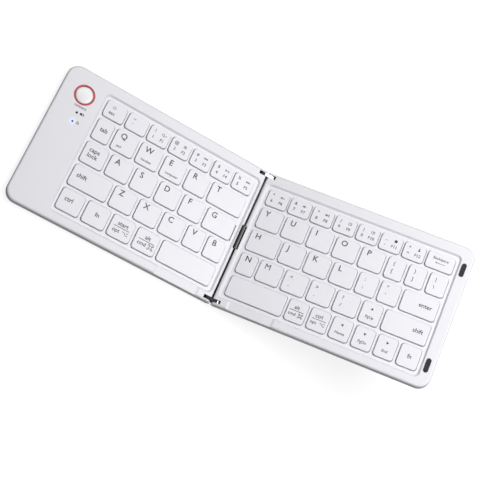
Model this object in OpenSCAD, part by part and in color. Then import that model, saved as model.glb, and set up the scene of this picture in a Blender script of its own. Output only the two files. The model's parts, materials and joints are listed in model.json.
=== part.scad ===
// Folding pocket keyboard: two equal halves on a hinge with two rows of pins.
// X runs from the left half to the right half, Y from the front edge to the rear edge, Z up.
// The origin is on the desk, in the middle of the keyboard's footprint.
// The left half lies flat on its feet and the right half is folded up by the fold angle.

/* [Case] */
// Width of one half, from the fold plane to its outer edge
half_w = 146.5; // [146:0.5:160]
// Depth of the case, front to rear
case_d = 98; // [98:0.5:104]
// Thickness of one half without its feet
case_t = 6.6; // [6.6:0.1:8]
// Thickness of the bottom cover
cover_t = 1.2; // [1:0.1:1.4]
// Radius of the outer corners, seen from above
corner_r = 8; // [5:0.5:10]
// Rounding of the upper outer edge
edge_r = 1.5; // [0.6:0.1:1.6]
// Rounding of the lower outer edge
cover_edge_r = 0.8; // [0.3:0.1:0.9]
// Height of a foot below the case
foot_h = 0.6; // [0.4:0.1:1.2]

/* [Hinge] */
// Angle by which the right half is folded up from flat
fold = 24.9; // [0:0.1:60]
// Distance of a hinge pin from the fold plane
pin_u = 3.5; // [3.5:0.1:3.8]
// Depth of a hinge pin below the top face
pin_drop = 3; // [2.9:0.1:3]
// Radius of a hinge pin
pin_r = 0.9; // [0.7:0.05:1]
// Running clearance of a pin in its ear
pin_play = 0.05; // [0.03:0.01:0.08]
// Thickness of a link plate
link_t = 2; // [1.6:0.1:2.2]

/* [Keys] */
// Depth of the key well below the top face
well_depth = 1.4; // [1.2:0.1:1.6]
// Width of the sloping wall round the key well
well_slope = 1.2; // [0.3:0.1:1.3]
// Depth of the thumb scoop in front of each space key
scoop_depth = 0.5; // [0.2:0.1:0.8]
// Gap between a keycap and the edge of its opening
key_play = 0.35; // [0.25:0.05:0.5]
// Depth of a letter key, front to rear
key_d = 14.4; // [13:0.1:14.6]
// Depth of a number key, front to rear
number_d = 11.3; // [10.5:0.1:11.6]
// Corner radius of a keycap, seen from above
cap_r = 2; // [1:0.1:2.5]
// Height of a keycap
cap_h = 2.2; // [1.8:0.1:2.4]

/* [Left end] */
// Radius of the connect button
button_r = 5.5; // [4:0.1:5.8]
// Rise of the button's crown above the top face
button_rise = 0.5; // [0.2:0.1:0.8]
// Outer radius of the coloured ring
ring_r = 6.8; // [6.6:0.1:7.5]

/* [Hidden] */
$fn = 48;
cut = 1;                       // overshoot of a cutter past the face it opens
top_z = case_t + foot_h;       // height of the left half's top face
rim_w = cover_t - case_t;      // parting plane of top frame and bottom cover
pin_w = -pin_drop;
half_d = case_d / 2;

// The hinge end of a half turns inside this radius about its pin, clear of the other half
nose_r = pin_u - 0.08;
nose_u = 1.24;
ear_r = 3;
ear_t = 1.5;
link_y0 = half_d - ear_t - 0.2 - link_t;
slot_y0 = link_y0 - 0.2;
slot_y1 = half_d - ear_t;
slot_u = pin_u + 3;
link_end_r = 2.35;
link_top = pin_drop - 0.4;
pin_y0 = slot_y0 - 2.6;
pin_y1 = half_d - 0.2;
spine_w = 0.85;
spine_top = -2.4;
spine_bottom = -3.5;

// The flat cable crosses the hinge in a notch near the middle of its length
notch_y0 = -9.3;
notch_y1 = 8;
notch_u = 2.42;
cable_r = 1.9;
cable_t = 0.3;

// Inside of a half
wall = 2;
deck_t = 0.8;
deck_under = -(well_depth + deck_t);
plate_t = 0.5;
plate_top = -4.2;
sheet_top = -3.8;
cavity_u0 = 5;
block_u = 8;                   // solid corners of the top frame round the hinge pins
block_y = pin_y0 - 1;

// Upper edge of the key well: the left one ends at the bare strip, the right one at the outer rim
well_u0 = 2.8;
well_y0 = -43.5;
well_y1 = 41.7;
well_r = 3.5;
LEFT_WELL_END = 118.7;
RIGHT_WELL_END = 138.7;
scoop_u = [10.8, 43];          // ends of a thumb scoop, and how far each end slopes
scoop_slope = 1.5;
seam = 0.3;                    // groove where the top frame meets the bottom cover
cap_top = -0.05;
cap_roof = 0.9;
cap_skirt = 0.9;
cap_edge = 0.45;

// A row of keys: middle in Y, depth, gap, and each key's name and width from the hinge outwards.
// A width of 0 fills the row up to the last key's outer edge.
KEYS_U0 = 6.4;
LEFT_KEYS_END = 115.9;
RIGHT_KEYS_END = 135.6;
LEFT_ROWS = [
  [32.65, number_d, 1.68, [["5", 14.2], ["4", 14.2], ["3", 14.2], ["2", 14.2], ["1", 14.2],
    ["grave", 14.2], ["esc", 0]]],
  [17.4, key_d, 2.15, [["t", 25.15], ["r", 15.55], ["e", 15.55], ["w", 15.55], ["q", 15.55],
    ["tab", 0]]],
  [0.6, key_d, 2.15, [["g", 21], ["f", 15.55], ["d", 15.55], ["s", 15.55], ["a", 15.55],
    ["caps", 0]]],
  [-16.2, key_d, 2.15, [["b", 12.8], ["v", 12.9], ["c", 15.55], ["x", 15.55], ["z", 15.55],
    ["left_shift", 0]]],
  [-33, key_d, 2.15, [["left_space", 38.7], ["left_alt", 15.55], ["start", 15.55],
    ["left_fn", 15.55], ["left_ctrl", 0]]]
];
RIGHT_ROWS = [
  [32.65, number_d, 1.67, [["6", 14.2], ["7", 14.2], ["8", 14.2], ["9", 14.2], ["0", 14.2],
    ["minus", 14.2], ["equals", 14.2], ["backspace", 0]]],
  [17.4, key_d, 2.3, [["y", 15.5], ["u", 15.5], ["i", 15.5], ["o", 15.5], ["p", 15.5],
    ["open_bracket", 11.8], ["close_bracket", 11.8], ["backslash", 0]]],
  [0.6, key_d, 2.1, [["h", 20.4], ["j", 15.6], ["k", 15.6], ["l", 15.6], ["semicolon", 12.9],
    ["quote", 13], ["enter", 0]]],
  [-16.2, key_d, 2.15, [["n", 11.5], ["m", 15.55], ["comma", 15.55], ["period", 15.55],
    ["slash", 15.55], ["up", 13], ["right_shift", 0]]],
  [-33, key_d, 2.25, [["right_space", 38.5], ["right_alt", 12.8], ["right_ctrl", 12.8],
    ["left", 12.8], ["down", 12.8], ["right", 12.8], ["right_fn", 0]]]
];

// Keys with a node of their own, and the groups that share one
LEFT_SINGLE_KEYS = ["q", "w", "e", "r", "t", "a", "s", "d", "f", "g", "z", "x", "c", "v", "b",
  "left_space"];
RIGHT_SINGLE_KEYS = ["y", "u", "i", "o", "p", "h", "j", "k", "l", "n", "m", "right_space", "enter"];
LEFT_KEY_GROUPS = [
  ["left_number_keys", ["esc", "grave", "1", "2", "3", "4", "5"]],
  ["left_function_keys", ["tab", "caps", "left_shift", "left_ctrl", "left_fn", "start", "left_alt"]]
];
RIGHT_KEY_GROUPS = [
  ["right_number_keys", ["6", "7", "8", "9", "0", "minus", "equals", "backspace"]],
  ["right_symbol_keys", ["open_bracket", "close_bracket", "backslash", "semicolon", "quote",
    "comma", "period", "slash"]],
  ["right_function_keys", ["right_shift", "right_alt", "right_ctrl", "right_fn",
    "up", "left", "down", "right"]]
];

// Parts of the left end, in the left half's own frame
button_at = [130.7, 32.5];
button_travel = 0.4;
lens_at = [[130.1, 19.9, 0.8], [130, 13.6, 0.7]];
port_u = 131;
port_size = [8.9, 7.2, 2.6];
bay_u0 = 120.6;
bay_top = -1.4;
board_top = -4.1;
board_t = 0.8;
board_u = [121.4, 139];
board_y = [-3, 45.4];
battery_u = [121.4, 138.2];
battery_y = [-45.6, -5.6];
battery_w = [-5.3, -2];

// Small parts of both halves
foot_size = [10, 2.8];
foot_recess = 0.3;
foot_u = [12, 134.5];
foot_y = 40.3;
magnet_at = [[141.6, -20], [141.6, 20]];
magnet_r = 2;
magnet_w = [-2.1, -0.9];
bumper_at = [[141.4, 32.9], [141.4, -33.9]];
bumper_size = [3, 9.2];
bumper_rise = 0.9;
bumper_recess = 0.6;

// Middle of the footprint: the right half's lower outer edge reaches furthest
right_pin_x = -pin_u + 2 * pin_u * cos(fold / 2);
right_reach = right_pin_x + (half_w - cover_edge_r - pin_u) * cos(fold)
  + (case_t - cover_edge_r - pin_drop) * sin(fold) + cover_edge_r;
hinge_x = (half_w - right_reach) / 2;

STRUCTURE = ["left_bottom_cover", "left_top_frame", "left_support_plate", "left_switch_sheet",
  "left_scissors", "main_board", "battery", "charge_port", "connect_button", "connect_ring",
  "status_lenses", "left_feet", "left_magnets", "front_hinge_link", "rear_hinge_link",
  "hinge_pins", "hinge_spine", "hinge_flex_cable", "right_bottom_cover", "right_top_frame",
  "right_support_plate", "right_switch_sheet", "right_scissors", "right_feet", "right_magnets",
  "bumpers"];
KEY_NODES = concat([for (k = concat(LEFT_SINGLE_KEYS, RIGHT_SINGLE_KEYS)) str("key_", k)],
  [for (g = concat(LEFT_KEY_GROUPS, RIGHT_KEY_GROUPS)) g[0]]);

// Where each key lies: name, middle, width and depth
function width_before(keys, n) = n <= 0 ? 0 : keys[n - 1][1] + width_before(keys, n - 1);
function key_width(row, i, span) = row[3][i][1] > 0 ? row[3][i][1]
  : span - width_before(row[3], i) - i * row[2];
function places(rows, end) = [
  for (row = rows, i = [0:len(row[3]) - 1])
    let (w = key_width(row, i, end - KEYS_U0))
      [row[3][i][0], KEYS_U0 + width_before(row[3], i) + i * row[2] + w / 2, row[0], w, row[1]]
];
LEFT_PLACES = places(LEFT_ROWS, LEFT_KEYS_END);
RIGHT_PLACES = places(RIGHT_ROWS, RIGHT_KEYS_END);
function named(name, names) = len([for (n = names) if (n == name) n]) > 0;

// Frames of the three bodies. Each is drawn flat: U outwards from the fold plane, top face at 0.
module on_left() translate([hinge_x, 0, top_z]) mirror([1, 0, 0]) children();
module on_link()
  translate([hinge_x - pin_u, 0, top_z + pin_w]) rotate([0, -fold / 2, 0])
    translate([pin_u, 0, -pin_w]) children();
module on_right()
  translate([hinge_x - pin_u, 0, top_z + pin_w]) rotate([0, -fold / 2, 0])
    translate([2 * pin_u, 0, 0]) rotate([0, -fold / 2, 0]) translate([-pin_u, 0, -pin_w]) children();

// Plain helpers
module along_y(y0, y1) translate([0, y1, 0]) rotate([90, 0, 0]) linear_extrude(y1 - y0) children();
module block(u, y, w) translate([u[0], y[0], w[0]]) cube([u[1] - u[0], y[1] - y[0], w[1] - w[0]]);
module both_ends() for (s = [0, 1]) mirror([0, s, 0]) children();
module round_rect(size, r) {
  square([size[0] - 2 * r, size[1]], center = true);
  square([size[0], size[1] - 2 * r], center = true);
  for (x = [-1, 1], y = [-1, 1]) translate([x * (size[0] / 2 - r), y * (size[1] / 2 - r)]) circle(r);
}
module quarter_disc(r) intersection() {
  circle(r);
  square(r);
}

// Block with rounded upright corners. Its wall is drawn as points of (distance inwards, height).
function wall_section(reach, wall) = concat([[0, wall[0][1]]], [for (p = wall) [reach - p[0], p[1]]],
  [[0, wall[len(wall) - 1][1]]]);
module walled_block(w, l, r, wall) {
  for (q = [[1, 1, 0], [-1, 1, 90], [-1, -1, 180], [1, -1, 270]])
    translate([q[0] * (w / 2 - r), q[1] * (l / 2 - r), 0]) rotate([0, 0, q[2]])
      rotate_extrude(angle = 90) polygon(wall_section(r, wall));
  along_y(-l / 2 + r, l / 2 - r) for (s = [0, 1]) mirror([s, 0]) polygon(wall_section(w / 2, wall));
  for (s = [0, 180]) rotate([0, 0, s]) translate([-w / 2 + r, l / 2 - r, 0]) rotate([90, 0, 90])
    linear_extrude(w - 2 * r) polygon(wall_section(r, wall));
}

// Slab with the outline of a half and a rounded upper edge on its three outer sides
module edge_section(h, e) {
  square([corner_r, h - e]);
  square([corner_r - e, h]);
  translate([corner_r - e, h - e]) quarter_disc(e);
}
module strip_section(h, e) {
  translate([-half_d, 0]) square([case_d, h - e]);
  translate([-half_d + e, 0]) square([case_d - 2 * e, h]);
  for (s = [0, 1]) mirror([s, 0]) translate([half_d - e, h - e]) quarter_disc(e);
}
module slab(u0, h, e) {
  run = half_w - corner_r;
  side = half_d - corner_r;
  translate([u0, 0, 0]) rotate([90, 0, 90]) linear_extrude(run - u0) strip_section(h, e);
  translate([run, 0, 0]) along_y(-side, side) edge_section(h, e);
  for (c = [[side, 0], [-side, 270]])
    translate([run, c[0], 0]) rotate([0, 0, c[1]]) rotate_extrude(angle = 90) edge_section(h, e);
}

// Groove round the three outer sides, on the parting plane
module outline(inset) {
  translate([0, inset - half_d]) square([half_w - corner_r, case_d - 2 * inset]);
  translate([0, corner_r - half_d]) square([half_w - inset, case_d - 2 * corner_r]);
  for (s = [-1, 1]) translate([half_w - corner_r, s * (half_d - corner_r)]) circle(corner_r - inset);
}
module seam_groove() translate([0, 0, rim_w]) linear_extrude(2 * seam, center = true) difference() {
  translate([pin_u + ear_r, -half_d - cut]) square([half_w, case_d + 2 * cut]);
  outline(seam);
}

// Hinge end of the top frame: barrel noses, slots for the link plates and bores for the pins
module above_pin() translate([-cut, pin_w]) square([pin_u + cut, pin_drop + cut]);
module pin_disc(r) translate([pin_u, pin_w]) circle(r);
module nose_cuts() {
  along_y(-slot_y0, slot_y0) {
    difference() {
      above_pin();
      pin_disc(nose_r);
    }
    translate([-cut, rim_w - cut]) square([nose_u + cut, -rim_w + 2 * cut]);
  }
  both_ends() along_y(slot_y1, half_d + cut) difference() {
    translate([-cut, rim_w - cut]) square([pin_u + cut, -rim_w + 2 * cut]);
    pin_disc(ear_r);
  }
  both_ends() block([-cut, slot_u], [slot_y0, slot_y1], [rim_w - cut, cut]);
  both_ends() along_y(pin_y0 - 0.1, half_d + cut) pin_disc(pin_r + pin_play);
}
module cable_cuts() {
  block([-cut, notch_u], [notch_y0, notch_y1], [rim_w - cut, cut]);
  block([notch_u - cut, cavity_u0 + cut], [notch_y0 + 0.5, notch_y1 - 0.5], [-3.4, -2.8]);
}

// Top frame: rim, key well, deck with an opening for each key, thumb scoop and side walls
module well(end) translate([(well_u0 + end) / 2, (well_y0 + well_y1) / 2, -well_depth])
  walled_block(end - well_u0, well_y1 - well_y0, well_r,
    [[well_slope, 0], [0, well_depth], [0, well_depth + cut]]);
module thumb_scoop() along_y(-half_d - cut, well_y0 + cut) polygon([
  [scoop_u[0], cut], [scoop_u[0], 0], [scoop_u[0] + scoop_slope, -scoop_depth],
  [scoop_u[1] - scoop_slope, -scoop_depth], [scoop_u[1], 0], [scoop_u[1], cut]]);
module key_openings(spots) translate([0, 0, deck_under - cut]) linear_extrude(deck_t + 1.5 * cut)
  for (k = spots) translate([k[1], k[2]])
    round_rect([k[3] + 2 * key_play, k[4] + 2 * key_play], cap_r + key_play / 2);
module cavity() translate([0, 0, rim_w - cut]) linear_extrude(deck_under - rim_w + cut) difference() {
  translate([(cavity_u0 + half_w - wall) / 2, 0])
    round_rect([half_w - wall - cavity_u0, case_d - 2 * wall], corner_r - wall);
  for (s = [-1, 1]) translate([0, s * half_d]) square([2 * block_u, 2 * (half_d - block_y)], center = true);
}
module magnet_pockets() for (m = magnet_at)
  translate([m[0], m[1], magnet_w[0] - cut]) cylinder(r = magnet_r + 0.05, h = magnet_w[1] - magnet_w[0] + cut);
module top_frame(spots, end) difference() {
  translate([0, 0, rim_w]) slab(0.4, -rim_w, edge_r);
  nose_cuts();
  cable_cuts();
  well(end);
  thumb_scoop();
  seam_groove();
  cavity();
  key_openings(spots);
  magnet_pockets();
  children();
}

// Openings of the bare strip: room for the electronics, button, lenses and the port
module bay_cuts() {
  translate([0, 0, deck_under - cut]) linear_extrude(bay_top - deck_under + cut) difference() {
    translate([(bay_u0 + half_w - wall) / 2, 0])
      round_rect([half_w - wall - bay_u0, case_d - 2 * wall], corner_r - wall);
    for (m = magnet_at) translate(m) circle(magnet_r + 1);
  }
  translate([button_at[0], button_at[1], bay_top - cut]) cylinder(r = button_r + 0.15, h = cut - bay_top + cut);
  translate([button_at[0], button_at[1], -0.6]) cylinder(r = ring_r + 0.05, h = cut);
  for (l = lens_at) translate([l[0], l[1], bay_top - cut]) cylinder(r = l[2] + 0.05, h = 3 * cut);
  translate([port_u, half_d, board_top + port_size[2] / 2]) rotate([90, 0, 0])
    linear_extrude(2 * wall, center = true) round_rect([port_size[0] + 0.4, port_size[2] + 0.4], 1.2);
}
module bumper_cuts() for (b = bumper_at) translate([b[0], b[1], -bumper_recess])
  linear_extrude(cut) round_rect([bumper_size[0] + 0.1, bumper_size[1] + 0.1], 1.5);

// Bottom cover: plate with rounded lower edge, ribs under the support plate, and a locating lip
module foot_pads(grow, h) for (u = foot_u, y = [-foot_y, foot_y]) translate([u, y, 0])
  linear_extrude(h) round_rect([foot_size[0] + grow, foot_size[1] + grow], foot_size[1] / 2 - 0.05);
module bottom_cover(end) {
  rib_h = plate_top - plate_t - rim_w;
  lip_h = 1;
  difference() {
    translate([0, 0, rim_w]) mirror([0, 0, 1]) slab(nose_u, cover_t, cover_edge_r);
    translate([0, 0, -case_t - cut]) foot_pads(0.1, cut + foot_recess);
  }
  for (y = [-36:12:36]) block([cavity_u0 + 4, end - 2], [y - 0.4, y + 0.4], [rim_w, rim_w + rib_h]);
  both_ends() block([block_u + 4, half_w - corner_r - 4], [half_d - wall - 1, half_d - wall - 0.2], [rim_w, rim_w + lip_h]);
  block([half_w - wall - 1, half_w - wall - 0.2], [-half_d + 14, half_d - 14], [rim_w, rim_w + lip_h]);
}

// Layers under the keys
module layer(end, inset, w0, w1) translate([0, 0, w0]) linear_extrude(w1 - w0) difference() {
  translate([cavity_u0 + 0.4 + inset, well_y0 - 1.6 + inset])
    square([end + 0.8 - cavity_u0 - 2 * inset, well_y1 - well_y0 + 3.8 - 2 * inset]);
  for (s = [-1, 1]) translate([0, s * half_d])
    square([2 * (block_u + 0.4 + inset), 2 * (half_d - block_y + 0.4 + inset)], center = true);
}
module support_plate(end) layer(end, 0, plate_top - plate_t, plate_top);
module dome() {
  dome_h = cap_top - cap_roof - sheet_top - 0.05;
  difference() {
    union() {
      cylinder(r = 2.3, h = 0.3);
      translate([0, 0, 0.3]) cylinder(r1 = 2.1, r2 = 1.2, h = dome_h - 1);
      cylinder(r = 1.1, h = dome_h);
    }
    translate([0, 0, -cut]) cylinder(r = 1.7, h = 0.4 + cut);
    translate([0, 0, 0.35]) cylinder(r1 = 1.7, r2 = 0.9, h = dome_h - 1.3);
  }
}
module switch_sheet(spots, end) {
  difference() {
    layer(end, 0.5, plate_top, sheet_top);
    translate([0, 0, plate_top - cut]) for (k = spots) translate([k[1], k[2]]) cylinder(r = 1.2, h = 3 * cut);
  }
  for (k = spots) translate([k[1], k[2], sheet_top]) dome();
}

// Scissor pair: two crossed frames that turn on short pivots, and a wire under a long key
scissor_tilt = 17;
scissor_w = -2.375;
module frame_bar(size) difference() {
  cube(size, center = true);
  cube([size[0] - 1.4, size[1] - 1.2, 2], center = true);
}
module scissor_pair() translate([0, 0, scissor_w]) {
  rotate([scissor_tilt, 0, 0]) difference() {
    frame_bar([8.2, 7.4, 0.55]);
    rotate([0, 90, 0]) cylinder(r = 0.22, h = 10, center = true);
  }
  rotate([-scissor_tilt, 0, 0]) {
    frame_bar([6.4, 7.4, 0.55]);
    for (s = [0, 180]) rotate([0, 0, s]) translate([3, 0, 0]) rotate([0, 90, 0]) cylinder(r = 0.18, h = 1);
  }
}
module stabilizer_wire(span) for (s = [-1, 1]) {
  translate([-span / 2 - 0.4, 5.1, -1.5]) rotate([0, 90, 0]) cylinder(r = 0.4, h = span + 0.8);
  translate([s * span / 2, 5.1, sheet_top + 0.1]) cylinder(r = 0.3, h = 2.2);
}
module scissors(spots) for (k = spots) translate([k[1], k[2], 0]) {
  scissor_pair();
  if (k[3] > 22) stabilizer_wire(k[3] - 5);
}

// Keycap: a shell with rounded corners and a softened upper edge
module keycap(w, l) translate([0, 0, cap_top - cap_h]) difference() {
  walled_block(w, l, cap_r,
    [[0, 0], [0, cap_h - cap_edge], [0.3 * cap_edge, cap_h - 0.3 * cap_edge], [cap_edge, cap_h]]);
  translate([0, 0, -cut]) linear_extrude(cap_h - cap_roof + cut)
    square([w - 2 * cap_skirt, l - 2 * cap_skirt], center = true);
}
module keycaps(spots, names) for (k = spots)
  if (named(k[0], names)) translate([k[1], k[2], 0]) keycap(k[3], k[4]);

module feet() translate([0, 0, -case_t - foot_h]) foot_pads(0, foot_h + foot_recess);
module magnets() for (m = magnet_at)
  translate([m[0], m[1], magnet_w[0]]) cylinder(r = magnet_r, h = magnet_w[1] - magnet_w[0]);

// Left half
module left_bottom_cover() color("gainsboro") on_left() {
  bottom_cover(LEFT_WELL_END);
  for (u = [board_u[0] + 2, board_u[1] - 2], y = [board_y[0] + 3, board_y[1] - 5])
    translate([u, y, rim_w]) cylinder(r = 1.2, h = board_top - board_t - rim_w);
}
module left_top_frame() color("whitesmoke") on_left()
  top_frame(LEFT_PLACES, LEFT_WELL_END) bay_cuts();
module left_support_plate() color("silver") on_left() support_plate(LEFT_WELL_END);
module left_switch_sheet() color("lightgray") on_left() switch_sheet(LEFT_PLACES, LEFT_WELL_END);
module left_scissors() color("white") on_left() scissors(LEFT_PLACES);
module left_feet() color("dimgray") on_left() feet();
module left_magnets() color("silver") on_left() magnets();

// Circuit board with its chips, lamps and the small switch under the button
module main_board() color("darkgreen") on_left() {
  block(board_u, board_y, [board_top - board_t, board_top]);
  for (c = [[125.5, 4, 5, 5], [134, 5, 4, 4], [125.5, 22, 4, 6]])
    translate([c[0] - c[2] / 2, c[1] - c[3] / 2, board_top]) cube([c[2], c[3], 0.9]);
  for (l = lens_at) translate([l[0] - 0.8, l[1] - 0.8, board_top]) cube([1.6, 1.6, 1]);
  translate([button_at[0] - 2, button_at[1] - 2, board_top]) cube([4, 4, 1]);
  translate([button_at[0], button_at[1], board_top]) cylinder(r = 1, h = 1.4);
}
module battery() color("lightsteelblue") on_left() difference() {
  block(battery_u, battery_y, battery_w);
  for (u = battery_u) translate([u, battery_y[1], battery_w[0] - cut]) cylinder(r = 0.8, h = 5);
}
module charge_port() color("silver") on_left()
  translate([port_u, half_d - 0.3, board_top + port_size[2] / 2]) rotate([90, 0, 0]) {
    difference() {
      linear_extrude(port_size[1]) round_rect([port_size[0], port_size[2]], 1.1);
      translate([0, 0, -cut]) linear_extrude(port_size[1] - 1 + cut)
        round_rect([port_size[0] - 0.6, port_size[2] - 0.6], 0.85);
    }
    translate([-3.2, -0.35, 1]) cube([6.4, 0.7, port_size[1] - 1.5]);
  }
module connect_button() color("white") on_left() translate([button_at[0], button_at[1], 0]) {
  crown = button_rise + 0.1;
  ball_r = (button_r * button_r + crown * crown) / (2 * crown);
  rotate_extrude() {
    intersection() {
      translate([0, button_rise - ball_r]) circle(ball_r, $fn = 200);
      translate([0, -0.1]) square([button_r, 1]);
    }
    translate([0, -1.9]) square([button_r, 1.8]);
    translate([0, -2]) square([button_r + 0.7, 0.45]);
    translate([0, -2.25]) square([1.5, 0.5]);
  }
}
module connect_ring() color("crimson") on_left() translate([button_at[0], button_at[1], -0.6])
  rotate_extrude() translate([button_r + 0.2, 0]) {
    ring_w = ring_r - button_r - 0.2;
    square([ring_w, 0.6]);
    translate([0.15, 0]) square([ring_w - 0.3, 0.75]);
  }
module status_lenses() color("midnightblue") on_left() for (l = lens_at)
  translate([l[0], l[1], bay_top - 0.3]) cylinder(r = l[2], h = -bay_top + 0.3);

// Hinge: a plate at each end carries two pins, and a thin spine joins the plates
module link_plate() color("dimgray") on_link() along_y(link_y0, link_y0 + link_t) difference() {
  union() {
    for (s = [-1, 1]) translate([s * pin_u, pin_w]) circle(link_end_r);
    translate([-pin_u, pin_w - link_end_r]) square([2 * pin_u, link_end_r + link_top]);
    translate([-spine_w, pin_w + spine_bottom]) square([2 * spine_w, 2]);
  }
  for (s = [-1, 1]) translate([s * pin_u, pin_w]) circle(pin_r);
}
module rear_hinge_link() link_plate();
module front_hinge_link() mirror([0, 1, 0]) link_plate();
module hinge_pins() color("gray") on_link() both_ends() for (s = [-1, 1])
  translate([s * pin_u, pin_y0, pin_w]) rotate([-90, 0, 0]) cylinder(r = pin_r, h = pin_y1 - pin_y0);
module hinge_spine() color("black") on_link()
  block([-spine_w, spine_w], [-link_y0, link_y0], [pin_w + spine_bottom, pin_w + spine_top]);
module hinge_flex_cable() color("darkslategray") on_link()
  along_y(notch_y0 + 0.3, notch_y1 - 0.3) translate([0, pin_w]) difference() {
    circle(cable_r);
    circle(cable_r - cable_t);
    translate([-3, -3]) square([6, 3]);
  }

// Right half
module right_bottom_cover() color("gainsboro") on_right() bottom_cover(RIGHT_WELL_END);
module right_top_frame() color("whitesmoke") on_right()
  top_frame(RIGHT_PLACES, RIGHT_WELL_END) bumper_cuts();
module right_support_plate() color("silver") on_right() support_plate(RIGHT_WELL_END);
module right_switch_sheet() color("lightgray") on_right() switch_sheet(RIGHT_PLACES, RIGHT_WELL_END);
module right_scissors() color("white") on_right() scissors(RIGHT_PLACES);
module right_feet() color("dimgray") on_right() feet();
module right_magnets() color("silver") on_right() magnets();
module bumpers() color("black") on_right() for (b = bumper_at) translate([b[0], b[1], -bumper_recess])
  linear_extrude(bumper_recess + bumper_rise) round_rect(bumper_size, 1.45);

module left_keys(names) color("ghostwhite") on_left() keycaps(LEFT_PLACES, names);
module right_keys(names) color("ghostwhite") on_right() keycaps(RIGHT_PLACES, names);

left_bottom_cover();
left_top_frame();
left_support_plate();
left_switch_sheet();
left_scissors();
main_board();
battery();
charge_port();
connect_button();
connect_ring();
status_lenses();
left_feet();
left_magnets();
front_hinge_link();
rear_hinge_link();
hinge_pins();
hinge_spine();
hinge_flex_cable();
right_bottom_cover();
right_top_frame();
right_support_plate();
right_switch_sheet();
right_scissors();
right_feet();
right_magnets();
bumpers();
for (k = LEFT_SINGLE_KEYS) left_keys([k]);
for (k = RIGHT_SINGLE_KEYS) right_keys([k]);
for (g = LEFT_KEY_GROUPS) left_keys(g[1]);
for (g = RIGHT_KEY_GROUPS) right_keys(g[1]);
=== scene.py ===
# %% [markdown]
# # A folding pocket keyboard, dressed for its picture
#
# The engineering model is loaded first and stays fixed. It already holds the case, the key well, the hinge and
# the mechanism under the keys, each in its own named node and in metres. This script adds what a camera sees:
# soft-edged keycaps with their legends, a domed button, rubber, metal and plastic finishes, a camera and light.
# Everything is built in one flat drawing of each half, in millimetres, and then carried to where that half lies.

# %% Load the engineering model
import json
from math import degrees, radians

import bmesh
import bpy
from mathutils import Matrix, Vector


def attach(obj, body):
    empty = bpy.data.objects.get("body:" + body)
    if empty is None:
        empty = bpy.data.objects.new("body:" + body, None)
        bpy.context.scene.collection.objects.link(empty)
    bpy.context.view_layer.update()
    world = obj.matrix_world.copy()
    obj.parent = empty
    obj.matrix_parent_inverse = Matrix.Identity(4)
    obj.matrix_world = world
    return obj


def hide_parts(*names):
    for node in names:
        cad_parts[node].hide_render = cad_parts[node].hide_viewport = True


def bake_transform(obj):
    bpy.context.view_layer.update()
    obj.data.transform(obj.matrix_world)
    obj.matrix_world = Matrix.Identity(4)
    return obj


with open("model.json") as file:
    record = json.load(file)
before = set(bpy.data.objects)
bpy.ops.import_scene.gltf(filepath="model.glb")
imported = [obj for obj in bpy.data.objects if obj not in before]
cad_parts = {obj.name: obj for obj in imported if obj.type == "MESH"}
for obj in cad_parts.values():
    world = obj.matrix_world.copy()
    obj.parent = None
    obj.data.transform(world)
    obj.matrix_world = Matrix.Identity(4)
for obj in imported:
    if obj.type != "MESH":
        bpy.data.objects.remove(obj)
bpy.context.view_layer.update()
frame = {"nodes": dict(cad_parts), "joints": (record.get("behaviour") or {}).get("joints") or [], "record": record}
NODES = frame["nodes"]

# %% [markdown]
# ## Where the two halves lie
#
# A half is drawn flat: x runs right from the fold, y towards the rear edge, z up from its top face. The left
# half lies on the desk. The link turns about the left pins by half of the fold, and the right half turns about
# the right pins by the other half. Three matrices say this once, so no piece is ever placed by hand on a slope.
# The place of the pins is read from the joints, because the hinge of the picture must be the hinge that moves.

# %% Three frames: left half, hinge link, right half
MM = 0.001
PIN_U, PIN_DROP = 3.5, 3.0
joints = {j["name"]: j for j in frame["joints"]}
left_pin = Vector(joints["left_fold"]["pos_m"])
right_pin = Vector(joints["right_fold"]["pos_m"])
step = right_pin - left_pin
half_fold = Vector((1, 0, 0)).angle(step)
turn = Matrix.Rotation(-half_fold, 4, "Y")
scale = Matrix.Scale(MM, 4)
to_pin = Matrix.Translation((PIN_U, 0, PIN_DROP))
from_pin = Matrix.Translation((-PIN_U, 0, PIN_DROP))
LEFT = Matrix.Translation(left_pin) @ scale @ to_pin
LINK = Matrix.Translation(left_pin) @ turn @ scale @ to_pin
RIGHT = Matrix.Translation(right_pin) @ turn @ turn @ scale @ from_pin
print("fold", round(degrees(2 * half_fold), 2), "degrees")

# %% [markdown]
# ## The camera
#
# The place and the angles come from matching the corners of both halves to the photograph, with the lens long
# enough that the keys shrink only a little towards the back. Matching corners is surer than turning the view by
# eye, because the fold angle and the camera both change how wide a half looks.

# %% Camera
LENS_MM = 73.77
CAMERA_X_FROM_PIN, CAMERA_Y, CAMERA_Z = 0.157168, -0.18444, 0.60142
CAMERA_ANGLES = (8.761, -20.531, 24.792)
scene = bpy.context.scene
camera_data = bpy.data.cameras.new("picture_camera")
camera_data.sensor_width = 36
camera_data.lens = LENS_MM
camera_data.clip_start = 0.01
camera = bpy.data.objects.new("picture_camera", camera_data)
camera.location = (left_pin.x - CAMERA_X_FROM_PIN, CAMERA_Y, CAMERA_Z)
camera.rotation_euler = [radians(angle) for angle in CAMERA_ANGLES]
scene.collection.objects.link(camera)
scene.camera = camera
print("camera at", [round(v, 3) for v in camera.location])

# %% [markdown]
# ## Floor and light
#
# The keyboard stands on a white sweep under four wide lamps: one nearly overhead, and three further out at the
# rear, the rear left and the front. Their powers were set by comparing tones with the photograph. A faint sky
# fills the rest.
# The floor also glows a little, for the picture only: its glow is linked to the floor alone, because light from
# below would wash out the shaded edges that draw the outline of the case. The plain view transform keeps white
# white.

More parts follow.
